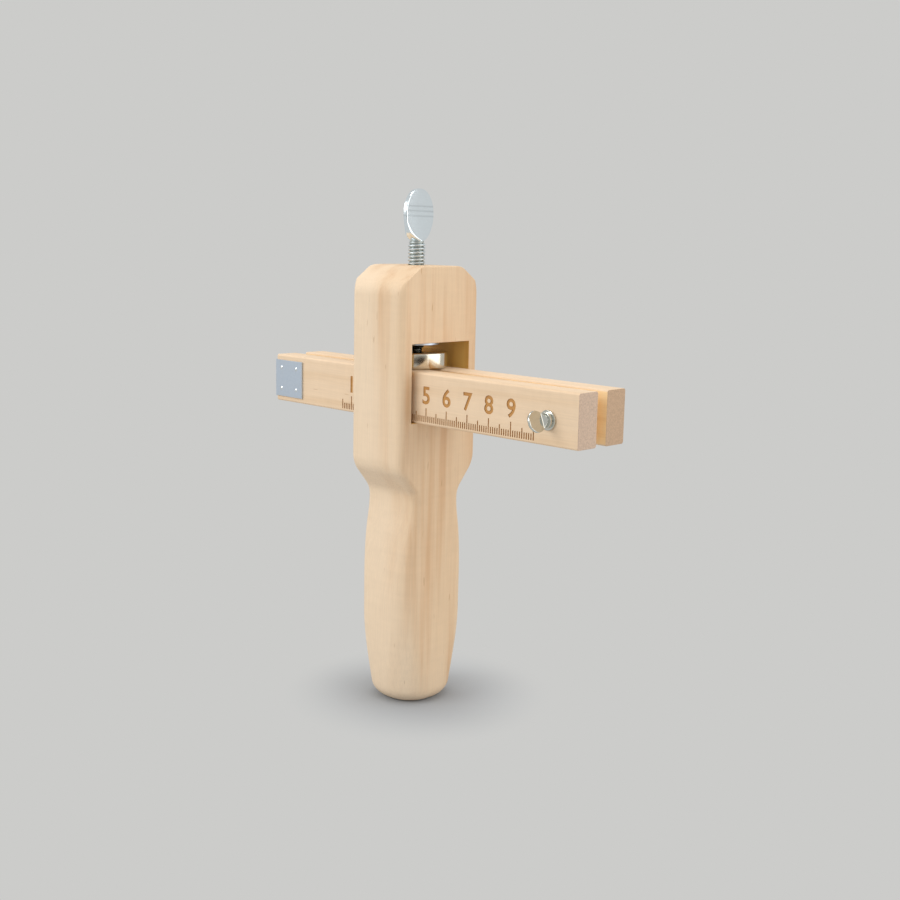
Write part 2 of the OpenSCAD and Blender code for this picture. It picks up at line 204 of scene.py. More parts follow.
# Outline of an open four, across and up from the middle of its foot
FOUR_OUTLINE = ((-0.75, 6.05), (0.4, 6.05), (-0.9, 2.6), (0.35, 2.6), (0.35, 4.3), (1.5, 4.3), (1.5, 2.6),
                (2.1, 2.6), (2.1, 1.5), (1.5, 1.5), (1.5, -0.18), (0.35, -0.18), (0.35, 1.5), (-2.2, 1.5),
                (-2.2, 2.3))

# Threads: depth as a share of the pitch, a power above 1 that makes crests broader than grooves, rows to a
# turn, and the plain stretches in millimetres next to the pad or shoulder and at the other end
THREAD_DEPTH = 0.55
THREAD_CREST = 1.6
THREAD_ROWS = 10
PLAIN_AT_SEAT = 0.1
PLAIN_AT_END = 0.05

# Spade heads: powers for the egg shape of the lower half, for how tightly the neck runs into the disc and
# for how soon it is flat, the most that a corner takes of half the thickness, the least half width in
# millimetres, which is also the least share of the thickness at the top, and the steps of heads and rims
EGG_POWER = 2.3
NECK_BLEND = 4
NECK_FLATTEN = 1.5
HEAD_CORNER = 0.98
HEAD_THINNEST = 0.02
HEAD_STEPS = 64
RING_POINTS = 64
RIM_STEPS = 6

# Screws, pad and washer, in millimetres. The lines on the big screw's head are given from its middle.
CLAMP_PITCH = 25.4 / 20
CLAMP_R = 6.35 / 2
CLAMP_SHOW = 8.6
CLAMP_HEAD_D = 17.4
CLAMP_HEAD_T = 1.7
CLAMP_NECK_R = 2.7
CLAMP_TAPER = 6.6
CLAMP_EDGE = 0.5
CLAMP_LEAN = 0.9
CLAMP_TURN = math.radians(12)
CLAMP_LINES = (2.4, 0.7, -1.1)
# Forging lines on the big screw's head, whose grey is painted shade of their shallow grooves
LINE_W = 0.5
LINE_SHARE = 0.3
LINE_SHADE_GREY = "A0A8AE"
# Grey of the painted shade at the bottom of the big screw's thread
GROOVE_SHADE_GREY = "B8BEBA"
TIP_R = 2.0
TIP_HEAD_R = 3.5
TIP_HEAD_H = 1.2
TIP_EASE = 0.3
PAD_HOLE_R = 2.05
PAD_SOCKET_R = 4.0
PAD_WEB = 2.4
PAD_ROUND = 0.6
ADJUST_PITCH = 25.4 / 32
ADJUST_R = 3.5 / 2
ADJUST_TIP_R = 1.0
ADJUST_HEAD_D = 7.2
ADJUST_HEAD_T = 0.9
ADJUST_NECK_R = 1.7
ADJUST_TAPER = 1.5
ADJUST_EDGE = 0.4
ADJUST_TURN = math.radians(21)
COLLAR_R = 2.7
COLLAR_H = 1.3
COLLAR_EASE = 0.25
WASHER_HOLE_R = 2.05
WASHER_ROUND = 0.2

# Meshes: how far in millimetres a cutter reaches past the face that it opens, the finest gap between points,
# the angles in degrees past which an edge counts as sharp, the steps across an eased edge, how much large
# faces rule the shading, and how much of a face's normal lies along the way that it faces
PAST = 2
MERGE = 0.001
NODE_SHARP = 28
EASED_SHARP = 30
TURNED_SHARP = 40
HANDLE_SHARP = 60
NODE_EASE_STEPS = 2
EASE_STEPS = 3
LARGE_FACE_WEIGHT = 100
FACING_SHARE = 0.9


def linear(colour):
    """Linear RGBA of an sRGB hex colour."""
    parts = [int(colour[i:i + 2], 16) / 255 for i in (0, 2, 4)]
    return [c / 12.92 if c <= 0.04045 else ((c + 0.055) / 1.055) ** 2.4 for c in parts] + [1]


def add(tree, kind, sockets=None, **settings):
    """Adds a node with its settings, and fills or links its input sockets."""
    made = tree.nodes.new(kind)
    for key, value in settings.items():
        setattr(made, key, value)
    for key, value in (sockets or {}).items():
        if isinstance(value, bpy.types.NodeSocket):
            tree.links.new(value, made.inputs[key])
        else:
            made.inputs[key].default_value = value
    return made


# Sockets of a colour Mix node
FACTOR, FIRST, SECOND, RESULT = 0, 6, 7, 2


def new_material(name):
    """Empty node material, its tree and its Principled shader."""
    material = bpy.data.materials.new(name)
    material.use_nodes = True
    tree = material.node_tree
    return material, tree, tree.nodes["Principled BSDF"]


def millimetres(tree, axes="XYZ"):
    """Object coordinates in millimetres, with the axes in the given order."""
    place = add(tree, "ShaderNodeTexCoord").outputs["Object"]
    scaled = add(tree, "ShaderNodeVectorMath", {0: place, "Scale": 1 / MM}, operation="SCALE")
    apart = add(tree, "ShaderNodeSeparateXYZ", {0: scaled.outputs[0]})
    in_order = {i: apart.outputs[axis] for i, axis in enumerate(axes)}
    return add(tree, "ShaderNodeCombineXYZ", in_order).outputs[0]


def grain_noise(tree, place):
    """Noise of each pattern in the wood, stretched along the grain."""
    noise = {}
    for pattern, (size, detail, rough) in WOOD_PATTERNS.items():
        spot = add(tree, "ShaderNodeVectorMath", {0: place, 1: [1 / s for s in size]}, operation="MULTIPLY")
        sockets = {"Vector": spot.outputs[0], "Scale": 1, "Detail": detail, "Roughness": rough}
        noise[pattern] = add(tree, "ShaderNodeTexNoise", sockets).outputs[0]
    return noise


def heart_and_sap(tree, place, noise, sap, heart, streak, heart_side, heart_from):
    """Colour of sapwood that runs into heartwood behind a wandering border, to one side of the block.
    Streaks, broad soft ones and thin ones, show on the heartwood and hardly on the sapwood."""
    slope = add(tree, "ShaderNodeVectorMath", {0: place, 1: heart_side}, operation="DOT_PRODUCT")
    wander = add(tree, "ShaderNodeMath", {0: noise["drift"], 1: HEART_WANDER, 2: slope.outputs["Value"]},
                 operation="MULTIPLY_ADD")
    inner = add(tree, "ShaderNodeMapRange",
                {"Value": wander.outputs[0], "From Min": heart_from, "From Max": heart_from + HEART_BORDER},
                interpolation_type="SMOOTHSTEP")
    colour = add(tree, "ShaderNodeMix",
                 {FACTOR: inner.outputs[0], FIRST: linear(sap), SECOND: linear(heart)},
                 data_type="RGBA")
    depth = add(tree, "ShaderNodeMapRange", {"Value": inner.outputs[0], "To Min": SAP_STREAKS, "To Max": 1})
    for pattern, (start, full, most) in WOOD_STREAKS.items():
        share = add(tree, "ShaderNodeMapRange",
                    {"Value": noise[pattern], "From Min": start, "From Max": full, "To Max": most},
                    interpolation_type="SMOOTHSTEP")
        share = add(tree, "ShaderNodeMath", {0: share.outputs[0], 1: depth.outputs[0]}, operation="MULTIPLY")
        colour = add(tree, "ShaderNodeMix",
                     {FACTOR: share.outputs[0], FIRST: colour.outputs[RESULT], SECOND: linear(streak)},
                     data_type="RGBA")
    return colour.outputs[RESULT]


def fibres_and_flecks(tree, noise, colour):
    """Wood's colour with hair-fine fibres along the grain, a faint ripple across it and a few flecks."""
    for pattern, (darkest, lightest) in WOOD_TONES.items():
        tone = add(tree, "ShaderNodeMapRange",
                   {"Value": noise[pattern], "From Min": NOISE_LOW, "From Max": NOISE_HIGH,
                    "To Min": darkest, "To Max": lightest})
        toned = add(tree, "ShaderNodeMix", {FACTOR: 1.0, FIRST: colour, SECOND: tone.outputs[0]},
                    data_type="RGBA", blend_type="MULTIPLY")
        colour = toned.outputs[RESULT]
    start, full = FLECK_NOISE
    dark = add(tree, "ShaderNodeMapRange",
               {"Value": noise["fleck"], "From Min": start, "From Max": full, "To Max": FLECK_SHARE})
    flecked = add(tree, "ShaderNodeMix",
                  {FACTOR: dark.outputs[0], FIRST: colour, SECOND: linear(FLECK_BROWN)},
                  data_type="RGBA")
    return flecked.outputs[RESULT]


def cut_ends(tree, noise, colour, along, end, end_share, below_only):
    """Wood's colour with open pores in a finely mottled, duller ground where a face cuts the grain, which
    runs along an axis. With below_only, only the ends that face down get that ground, and there it is
    partly painted shade."""
    coordinates = add(tree, "ShaderNodeTexCoord")
    facing = add(tree, "ShaderNodeSeparateXYZ", {0: coordinates.outputs["Normal"]})
    facing = add(tree, "ShaderNodeMath", {0: facing.outputs[along], 1: -1},
                 operation="MULTIPLY" if below_only else "ABSOLUTE")
    start, full = END_FACING
    cut = add(tree, "ShaderNodeMapRange",
              {"Value": facing.outputs[0], "From Min": start, "From Max": full, "To Max": end_share},
              interpolation_type="SMOOTHSTEP")
    low, high = PORE_NOISE
    darkest, lightest = PORE_TONES
    pored = add(tree, "ShaderNodeMapRange", {"Value": noise["pores"], "From Min": low, "From Max": high,
                                             "To Min": darkest, "To Max": lightest})
    ends = add(tree, "ShaderNodeMix", {FACTOR: 1.0, FIRST: linear(end), SECOND: pored.outputs[0]},
               data_type="RGBA", blend_type="MULTIPLY")
    laid = add(tree, "ShaderNodeMix", {FACTOR: cut.outputs[0], FIRST: colour, SECOND: ends.outputs[RESULT]},
               data_type="RGBA")
    return laid.outputs[RESULT]


def limewood(name, axes, sap, heart, streak, end, heart_side, heart_from, end_share, below_only=False):
    """Lime wood, planed and sanded: pale cream sapwood that runs into tan heartwood, with soft streaks and
    hair-fine fibres along the grain, a faint ripple across it, a few short flecks, a low satin sheen, and
    duller, pinker, porous ends. axes puts the grain's axis last. heart_side, with its axes in that order,
    points to the heartwood, whose border lies from heart_from on that way, before it wanders."""
    material, tree, shader = new_material(name)
    place = millimetres(tree, axes)
    noise = grain_noise(tree, place)
    colour = heart_and_sap(tree, place, noise, sap, heart, streak, heart_side, heart_from)
    colour = fibres_and_flecks(tree, noise, colour)
    colour = cut_ends(tree, noise, colour, axes[2], end, end_share, below_only)
    tree.links.new(colour, shader.inputs["Base Color"])
    smoothest, roughest = WOOD_ROUGHNESS
    gloss = add(tree, "ShaderNodeMapRange",
                {"Value": noise["fibre"], "From Min": NOISE_LOW, "From Max": NOISE_HIGH,
                 "To Min": smoothest, "To Max": roughest})
    tree.links.new(gloss.outputs[0], shader.inputs["Roughness"])
    relief = add(tree, "ShaderNodeBump",
                 {"Height": noise["fibre"], "Strength": FIBRE_BUMP, "Distance": FIBRE_RELIEF * MM})
    tree.links.new(relief.outputs[0], shader.inputs["Normal"])
    shader.inputs["IOR"].default_value = WOOD_IOR
    return material


def plated_steel(name, colour, dull, roughness, cloud_mm, hair_mm):
    """Plated steel: a mirror or satin ground that is slightly clouded, with hair lines from polishing. Real
    hair lines are too fine to show, so they are drawn some five times as wide."""
    material, tree, shader = new_material(name)
    place = millimetres(tree)
    cloud = add(tree, "ShaderNodeTexNoise", {"Vector": place, "Scale": 1 / cloud_mm, "Detail": CLOUD_DETAIL})
    across = 1 / hair_mm
    hairs = add(tree, "ShaderNodeVectorMath", {0: place, 1: (across / HAIR_LENGTH, across, across)},
                operation="MULTIPLY")
    hairs = add(tree, "ShaderNodeTexNoise", {"Vector": hairs.outputs[0], "Scale": 1, "Detail": HAIR_DETAIL})
    tint = add(tree, "ShaderNodeMix",
               {FACTOR: cloud.outputs[0], FIRST: linear(colour), SECOND: linear(dull)},
               data_type="RGBA")
    tree.links.new(tint.outputs[RESULT], shader.inputs["Base Color"])
    wear = add(tree, "ShaderNodeMath", {0: cloud.outputs[0], 1: hairs.outputs[0]}, operation="MULTIPLY")
    least, most = WEAR_NOISE
    smoothest, roughest = roughness
    gloss = add(tree, "ShaderNodeMapRange", {"Value": wear.outputs[0], "From Min": least, "From Max": most,
                                             "To Min": smoothest, "To Max": roughest})
    tree.links.new(gloss.outputs[0], shader.inputs["Roughness"])
    shader.inputs["Metallic"].default_value = 1
    return material


def lay_over(material, share, colour):
    """Lays a colour over a material by a share from 0 to 1."""
    tree = material.node_tree
    base = tree.nodes["Principled BSDF"].inputs["Base Color"]
    under = base.links[0].from_socket
    laid = add(tree, "ShaderNodeMix", {FACTOR: share, FIRST: under, SECOND: linear(colour)},
               data_type="RGBA")
    tree.links.new(laid.outputs[RESULT], base)


def score_lines(material, heights):
    """Faint forging lines across the head's faces, at heights in millimetres: real marks, whose darker look
    in their shallow grooves is painted shade laid on the plating.
    """
    tree = material.node_tree
    place = add(tree, "ShaderNodeSeparateXYZ", {0: millimetres(tree)})
    for height in heights:
        away = add(tree, "ShaderNodeMath", {0: place.outputs["Z"], 1: height}, operation="SUBTRACT")
        away = add(tree, "ShaderNodeMath", {0: away.outputs[0]}, operation="ABSOLUTE")
        share = add(tree, "ShaderNodeMapRange", {"Value": away.outputs[0], "From Max": LINE_W,
                                                 "To Min": LINE_SHARE, "To Max": 0})
        lay_over(material, share.outputs[0], LINE_SHADE_GREY)


def dirty_grooves(material, root_r, crest_r):
    """Painted shade at the bottom of a vertical screw's thread, which leaves only the crests bright."""
    tree = material.node_tree
    across = add(tree, "ShaderNodeVectorMath", {0: millimetres(tree), 1: (1, 1, 0)}, operation="MULTIPLY")
    away = add(tree, "ShaderNodeVectorMath", {0: across.outputs[0]}, operation="LENGTH")
    share = add(tree, "ShaderNodeMapRange", {"Value": away.outputs["Value"], "From Min": root_r,
                                             "From Max": crest_r, "To Min": 1, "To Max": 0})
    lay_over(material, share.outputs[0], GROOVE_SHADE_GREY)


def box_mm(node):
    """Lowest and highest corner of a CAD node, in millimetres."""
    return [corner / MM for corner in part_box(node)]


def middle_mm(node):
    """Middle of a CAD node's box, in millimetres."""
    low, high = box_mm(node)
    return (low + high) / 2


def finish_node(name, material, ease_mm):
    """Gives a CAD node its material and eased, evenly shaded edges."""
    piece = nodes[name]
    piece.data.materials.clear()
    piece.data.materials.append(material)
    for face in piece.data.polygons:
        face.use_smooth = True
    weld = piece.modifiers.new("weld", "WELD")
    weld.merge_threshold = 2 * MERGE * MM
    ease = piece.modifiers.new("ease", "BEVEL")
    ease.width = ease_mm * MM
    ease.segments = NODE_EASE_STEPS
    ease.limit_method = "ANGLE"
    ease.angle_limit = math.radians(NODE_SHARP)
    ease.use_clamp_overlap = False
    even = piece.modifiers.new("even", "WEIGHTED_NORMAL")
    even.weight = LARGE_FACE_WEIGHT


def stand_for(piece, node, body):
    """Makes a piece ride on a body in place of a CAD node."""
    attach(piece, body)
    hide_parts(node)


def spread(start, end, steps):
    """Evenly spaced values after the start, up to the end."""
    return [start + (end - start) * i / steps for i in range(1, steps + 1)]


def smooth(t):
    """Share from 0 to 1 with soft ends."""
    t = min(max(t, 0), 1)
    return t * t * (3 - 2 * t)


def sag(radius, run):
    """How far an arc falls away from its tangent after a run."""
    return radius - math.sqrt(radius * radius - run * run)


def section(half_t, half_w, corner, z):
    """Ring of a rounded rectangle, thin along X and wide along Y, at a height."""
    points = []
    for i in range(RING_POINTS):
        turn = 2 * math.pi * (i + 0.5) / RING_POINTS
        x = math.copysign(half_t - corner, math.cos(turn)) + corner * math.cos(turn)
        y = math.copysign(half_w - corner, math.sin(turn)) + corner * math.sin(turn)
        points.append((x, y, z))
    return points


def circle(radius, z):
    """Ring of a round bar at a height."""
    return section(radius, radius, radius, z)


def rim(radius, low, high, ease):
    """Rings up the outside of a disc with rounded rims."""
    rings = []
    for middle, start in ((low + ease, -math.pi / 2), (high - ease, 0)):
        for t in [start] + spread(start, start + math.pi / 2, RIM_STEPS):
            rings.append(circle(radius - ease + ease * math.cos(t), middle + ease * math.sin(t)))
    return rings


def thread(radius, pitch, low, high):
    """Rings that follow a rolled right-hand thread between two heights, and run out at both ends."""
    depth = THREAD_DEPTH * pitch
    rings = []
    for row in range(int((high - low) / pitch + 2) * THREAD_ROWS + 1):
        drop = (0.5 - 0.5 * math.cos(2 * math.pi * row / THREAD_ROWS)) ** THREAD_CREST
        ring = []
        for i in range(RING_POINTS):
            part = (i + 0.5) / RING_POINTS
            z = min(max(low + pitch * (row / THREAD_ROWS - 1 + part), low), high)
            full = min((z - low) / pitch, (high - z) / pitch, 1)
            r = radius - depth * (1 - full) - depth * drop * full
            ring.append((r * math.cos(2 * math.pi * part), r * math.sin(2 * math.pi * part), z))
        rings.append(ring)
    return rings


def spade_head(foot, top, head_d, rim_t, neck_r, taper, edge, lean=0):
    """Rings of a forged spade head between two heights: a round neck that widens and flattens into an
    egg-shaped disc with a rounded rim. lean sets the disc to one side of the screw."""
    radius = head_d / 2
    middle = top - radius
    quarter = spread(0, math.pi / 2, HEAD_STEPS // 2)
    heights = [middle - (middle - foot) * math.cos(t) for t in quarter]
    heights += [middle + radius * math.sin(t) for t in quarter]
    rings = [circle(neck_r, foot)]
    for z in heights:
        flat = min((z - foot) / taper, 1)
        reach = (z - middle) / (radius if z > middle else middle - foot)
        power = 2 if z > middle else EGG_POWER
        disc = radius * max(1 - abs(reach) ** power, 0) ** (1 / power)
        neck = neck_r * (1 - smooth((z - foot) / radius))
        half_w = max((neck ** NECK_BLEND + disc ** NECK_BLEND) ** (1 / NECK_BLEND), HEAD_THINNEST)
        half_t = rim_t / 2 + (neck_r - rim_t / 2) * (1 - flat) ** NECK_FLATTEN
        left = min(max((top - z) / edge, 0), 1)
        half_t *= max(math.sqrt(1 - (1 - left) ** 2), HEAD_THINNEST)
        corner = edge + (neck_r - edge) * (1 - flat)
        ring = section(half_t, half_w, HEAD_CORNER * min(corner, half_t, half_w), z)
        shift = lean * smooth(flat)
        rings.append([(x, y + shift, z) for x, y, z in ring])
    return rings


def loft(name, rings, place=Matrix(), closed=False):
    """Mesh object through rings in millimetres, brought to its place. A closed one runs back into its first
    ring, like a washer, and any other has flat ends."""
    shape = bmesh.new()
    rows = [[shape.verts.new(place @ (Vector(p) * MM)) for p in ring] for ring in rings]
    for lower, upper in zip(rows, rows[1:] + rows[:1] if closed else rows[1:]):
        for i in range(len(lower)):
            j = (i + 1) % len(lower)
            shape.faces.new((lower[i], lower[j], upper[j], upper[i]))
    if not closed:
        shape.faces.new(list(reversed(rows[0])))
        shape.faces.new(rows[-1])
    bmesh.ops.remove_doubles(shape, verts=shape.verts, dist=MERGE * MM)
    bmesh.ops.dissolve_degenerate(shape, edges=shape.edges, dist=MERGE * MM / 2)
    bmesh.ops.recalc_face_normals(shape, faces=shape.faces)
    return new_piece(name, shape)


def new_piece(name, shape):
    """Mesh object of a finished shape, with smooth shading."""
    mesh = bpy.data.meshes.new(name)
    shape.to_mesh(mesh)
    shape.free()
    piece = bpy.data.objects.new(name, mesh)
    bpy.context.scene.collection.objects.link(piece)
    shade(piece, TURNED_SHARP)
    return piece


def shade(piece, sharp):
    """Smooth shading, apart from edges sharper than an angle in degrees."""
    for face in piece.data.polygons:
        face.use_smooth = True
    piece.data.set_sharp_from_angle(angle=math.radians(sharp))


def even_faces(piece, sharp=EASED_SHARP):
    """Shading that keeps large faces flat up to their eased edges."""
    shade(piece, sharp)
    even = piece.modifiers.new("even", "WEIGHTED_NORMAL")
    even.keep_sharp = True
    even.weight = LARGE_FACE_WEIGHT


def settle(piece):
    """Turns a piece's modifiers into its mesh."""
    bpy.context.view_layer.update()
    made = piece.evaluated_get(bpy.context.evaluated_depsgraph_get())
    mesh = bpy.data.meshes.new_from_object(made)
    piece.modifiers.clear()
    piece.data = mesh


def carve(piece, cutters, inside):
    """Cuts closed shapes out of a piece, and gives the cut faces a material."""
    for cutter in cutters:
        cutter.data.materials.append(inside)
        cut = piece.modifiers.new(cutter.name, "BOOLEAN")
        cut.operation = "DIFFERENCE"
        cut.solver = "EXACT"
        cut.material_mode = "TRANSFER"
        cut.object = cutter
    settle(piece)
    for cutter in cutters:
        bpy.data.objects.remove(cutter)


def ease_edges(piece, width_mm, sharp=EASED_SHARP):
    """Sands the edges of a piece that are sharper than an angle in degrees."""
    ease = piece.modifiers.new("ease", "BEVEL")
    ease.width = width_mm * MM
    ease.segments = EASE_STEPS
    ease.limit_method = "ANGLE"
    ease.angle_limit = math.radians(sharp)
    ease.use_clamp_overlap = False
    settle(piece)


def block(name, low, high):
    """Box between two corners in millimetres."""
    rings = [[(low[0], low[1], z), (high[0], low[1], z), (high[0], high[1], z), (low[0], high[1], z)]
             for z in (low[2], high[2])]
    return loft(name, rings)


def rod(name, radius, start, axis, length):
    """Round bar from a point in millimetres along an axis."""
    turned = Vector(axis).to_track_quat("Z", "Y").to_matrix().to_4x4()
    place = Matrix.Translation(Vector(start) * MM) @ turned
    return loft(name, [circle(radius, 0), circle(radius, length)], place)


def facing_front(x, y, z):
    """Place at a point in millimetres, turned so that what stood up points to the front."""
    return Matrix.Translation(Vector((x, y, z)) * MM) @ Matrix.Rotation(math.pi / 2, 4, "X")


def handle_ring(half_w, half_d, corner, z):
    """Ring of the handle at a height, with rounded upright edges."""
    arc = [0] + spread(0, math.pi / 2, CORNER_STEPS)
    points = []
    for side, back in ((1, 1), (-1, 1), (-1, -1), (1, -1)):
        for t in arc if side == back else reversed(arc):
            points.append((side * (half_w - corner + corner * math.cos(t)),
                           back * (half_d - corner + corner * math.sin(t)), z))
    return points


def upright_round(z):
    """Roundover of the handle's upright edges at a height."""
    if z < BELLY_Z:
        return GRIP_ROUND + (FOOT_CORNER - GRIP_ROUND) * smooth(1 - z / BELLY_Z)
    return GRIP_ROUND + (HEAD_ROUND - GRIP_ROUND) * smooth((z - BELLY_Z) / (WAIST_Z - BELLY_Z))


def top_rings(half_w, head, top):
    """Rings of the slanting cuts on the handle's head, up to its flat top. The cuts go through the roundover
    of the upright edges, so that fades out up the slant."""
    turn = math.atan2(TOP_CUT_D, TOP_CUT_H)
    low_z = top - TOP_CUT_H - TOP_EASE * math.tan(turn / 2)
    high_y = head - TOP_CUT_D - TOP_EASE * math.tan((math.pi / 2 - turn) / 2)
    outline = [(head - TOP_EASE + TOP_EASE * math.cos(t), low_z + TOP_EASE * math.sin(t))
               for t in [0] + spread(0, turn, CUT_STEPS)]
    outline += [(high_y + TOP_EASE * math.cos(t), top - TOP_EASE + TOP_EASE * math.sin(t))
                for t in [turn] + spread(turn, math.pi / 2, TOP_STEPS)]
    rings = []
    for y, z in outline:
        corner = max(HEAD_ROUND + y - head, TOP_EDGE)
        inset = sag(TOP_EDGE, max(z - top + TOP_EDGE, 0))
        rings.append(handle_ring(half_w - inset, y, corner, z))
    return rings


def handle_rings():
    """Level rings of the handle, from its rounded foot over grip, waist and shoulders to its head."""
    half_w, head, top = box_mm("handle")[1]
    cove_top = WAIST_Z + COVE_R * math.sin(SHOULDER_ANGLE)
    slope_run = head - WAIST_D / 2 - (COVE_R + SHOULDER_R) * (1 - math.cos(SHOULDER_ANGLE))
    slope_top = cove_top + slope_run / math.tan(SHOULDER_ANGLE)
    head_z = slope_top + SHOULDER_R * math.sin(SHOULDER_ANGLE)
    foot_fall = (GRIP_D - FOOT_D) / 2
    foot_arc = (BELLY_Z ** 2 + foot_fall ** 2) / (2 * foot_fall)
    sway = 2 * math.atan((GRIP_D - WAIST_D) / 2 / (WAIST_Z - BELLY_Z))
    belly_r = (WAIST_Z - BELLY_Z) / math.sin(sway) - WAIST_R
    sway_z = BELLY_Z + belly_r * math.sin(sway)

    def half_depth(z):
        if z < BELLY_Z:
            return GRIP_D / 2 - sag(foot_arc, BELLY_Z - z)
        if z < sway_z:
            return GRIP_D / 2 - sag(belly_r, z - BELLY_Z)
        if z < WAIST_Z:
            return WAIST_D / 2 + sag(WAIST_R, WAIST_Z - z)
        if z < cove_top:
            return WAIST_D / 2 + sag(COVE_R, z - WAIST_Z)
        if z < slope_top:
            return WAIST_D / 2 + sag(COVE_R, cove_top - WAIST_Z) + (z - cove_top) * math.tan(SHOULDER_ANGLE)
        return head - sag(SHOULDER_R, max(head_z - z, 0))

    rings = []
    for t in [0] + spread(0, math.pi / 2, FOOT_STEPS):
        z = FOOT_ROUND * (1 - math.cos(t))
        inset = FOOT_ROUND * (1 - math.sin(t))
        rings.append(handle_ring(half_w - inset, half_depth(z) - inset, upright_round(z) - inset, z))
    levels = spread(FOOT_ROUND, BELLY_Z, BELLY_STEPS)
    levels += spread(BELLY_Z, sway_z, SWAY_STEPS)
    levels += spread(sway_z, WAIST_Z, WAIST_STEPS)
    levels += [WAIST_Z + COVE_R * math.sin(t) for t in spread(0, SHOULDER_ANGLE, COVE_STEPS)]
    levels.append(slope_top)
    levels += [head_z - SHOULDER_R * math.sin(SHOULDER_ANGLE - t)
               for t in spread(0, SHOULDER_ANGLE, SHOULDER_STEPS)]
    rings += [handle_ring(half_w, half_depth(z), upright_round(z), z) for z in levels]
    return rings + top_rings(half_w, head, top)


def shaped_handle(material, inside):
    """Handle: shaped and sanded block with a square mortise and the clamp screw's bore."""
    low, high = box_mm("handle")
    piece = loft("shaped_handle", handle_rings())
    piece.data.materials.append(material)
    half = MORTISE_W / 2
    under = MORTISE_HIGH - PAST
    # The cut faces take the inside material, whose amber is painted bounce light.
    carve(piece, [
        block("mortise", (low.x - PAST, -half, MORTISE_LOW), (high.x + PAST, half, MORTISE_HIGH)),
        rod("clamp_bore", CLAMP_BORE_R, (0, 0, under), UP, high.z + PAST - under),
        rod("nut_bore", NUT_BORE_R, (0, 0, under), UP, NUT_BORE_TOP - under),
    ], inside)
    ease_edges(piece, MORTISE_EASE, HANDLE_SHARP)
    even_faces(piece, HANDLE_SHARP)
    stand_for(piece, "handle", "handle")


def wooden_arm(name, node, material, inside, cutters, slot_side):
    """Planed bar with eased edges and its holes. slot_side is the way along Y to the slot, where the face
    takes the inside material, whose amber there is painted bounce light."""
    low, high = box_mm(node)
    cut = ARM_BEVEL
    profile = [(low.y + cut, low.z), (high.y - cut, low.z), (high.y, low.z + cut), (high.y, high.z - cut),
               (high.y - cut, high.z), (low.y + cut, high.z), (low.y, high.z - cut), (low.y, low.z + cut)]
    piece = loft(name, [[(x, y, z) for y, z in profile] for x in (low.x, high.x)])
    piece.data.materials.append(material)
    carve(piece, cutters, inside)
    ease_edges(piece, ARM_EASE)
    # Faces towards the slot take the inside material, whose amber is painted bounce light between the arms.
    for face in piece.data.polygons:
        if face.normal.y * slot_side > FACING_SHARE:
            face.material_index = piece.data.materials.find(inside.name)
    stand_for(piece, node, node)
    return piece


def arm_cutters(node):
    """Blade slot and screw hole through one arm."""
    low, high = box_mm(node)
    blade = middle_mm("blade")
    screw = middle_mm("adjust_screw")
    half = Vector((BLADE_SLOT_W / 2, 0, BLADE_SLOT_H / 2))
    start = Vector((blade.x, low.y - PAST, blade.z))
    end = Vector((blade.x, high.y + PAST, blade.z))
    length = high.y - low.y + 2 * PAST
    return [block("blade_slot", start - half, end + half),
            rod("screw_hole", SCREW_HOLE_R, (screw.x, low.y - PAST, screw.z), BACK, length)]


def pin_places():
    """Middles of the four pins on the front arm's face, in millimetres."""
    low, high = box_mm("plate_pins")
    reach = PIN_HEAD_R
    return [(x, z) for x in (low.x + reach, high.x - reach) for z in (low.z + reach, high.z - reach)]


def numeral(digit, thick):
    """Numeral that stands on its origin, thick along Y. The font's four crosses itself, so an open four is
    drawn."""
    if digit == 4:
        return loft("numeral", [[(x, y, z) for x, z in FOUR_OUTLINE] for y in (-thick / 2, thick / 2)])
    letters = bpy.data.curves.new("numeral", "FONT")
    letters.body = str(digit)
    letters.size = NUMERAL_SIZE * MM
    letters.align_x = "CENTER"
    letters.extrude = thick / 2 * MM
    letters.offset = NUMERAL_BOLD * MM
    letters.resolution_u = NUMERAL_CURVE
    text = bpy.data.objects.new("numeral", letters)
    bpy.context.scene.collection.objects.link(text)
    bpy.context.view_layer.update()
    mesh = bpy.data.meshes.new_from_object(text.evaluated_get(bpy.context.evaluated_depsgraph_get()))
    bpy.data.objects.remove(text)
    mesh.transform(facing_front(0, 0, 0))
    piece = bpy.data.objects.new("numeral", mesh)
    bpy.context.scene.collection.objects.link(piece)
    return piece


def width_scale():
    """Cutter for the burnt scale: a tick for each millimetre of strap and a numeral for each centimetre."""
    low = box_mm("front_arm")[0]
    shape = bmesh.new()
    bottom = low.z + ARM_BEVEL + SCALE_RISE
    thick = SCALE_BURN + SCALE_MARGIN
    for width in range(SCALE_FIRST, SCALE_LAST + 1):
        step = next(s for s in TICK_LENGTHS if width % s == 0)
        x = SCALE_ZERO_X + width
        tick = block("tick", (x - TICK_W / 2, low.y - SCALE_MARGIN, bottom),
                     (x + TICK_W / 2, low.y + SCALE_BURN, bottom + TICK_LENGTHS[step]))
        shape.from_mesh(tick.data)
        bpy.data.objects.remove(tick)
        if step == CENTIMETRE and width < SCALE_LAST:
            figure = numeral(width // CENTIMETRE, thick)
            place = Vector((x, low.y + SCALE_BURN - thick / 2, bottom + NUMERAL_RISE)) * MM
            figure.data.transform(Matrix.Translation(place))
            shape.from_mesh(figure.data)
            bpy.data.objects.remove(figure)
    bmesh.ops.remove_doubles(shape, verts=shape.verts, dist=MERGE * MM / 2)
    bmesh.ops.recalc_face_normals(shape, faces=shape.faces)
    return new_piece("width_scale", shape)


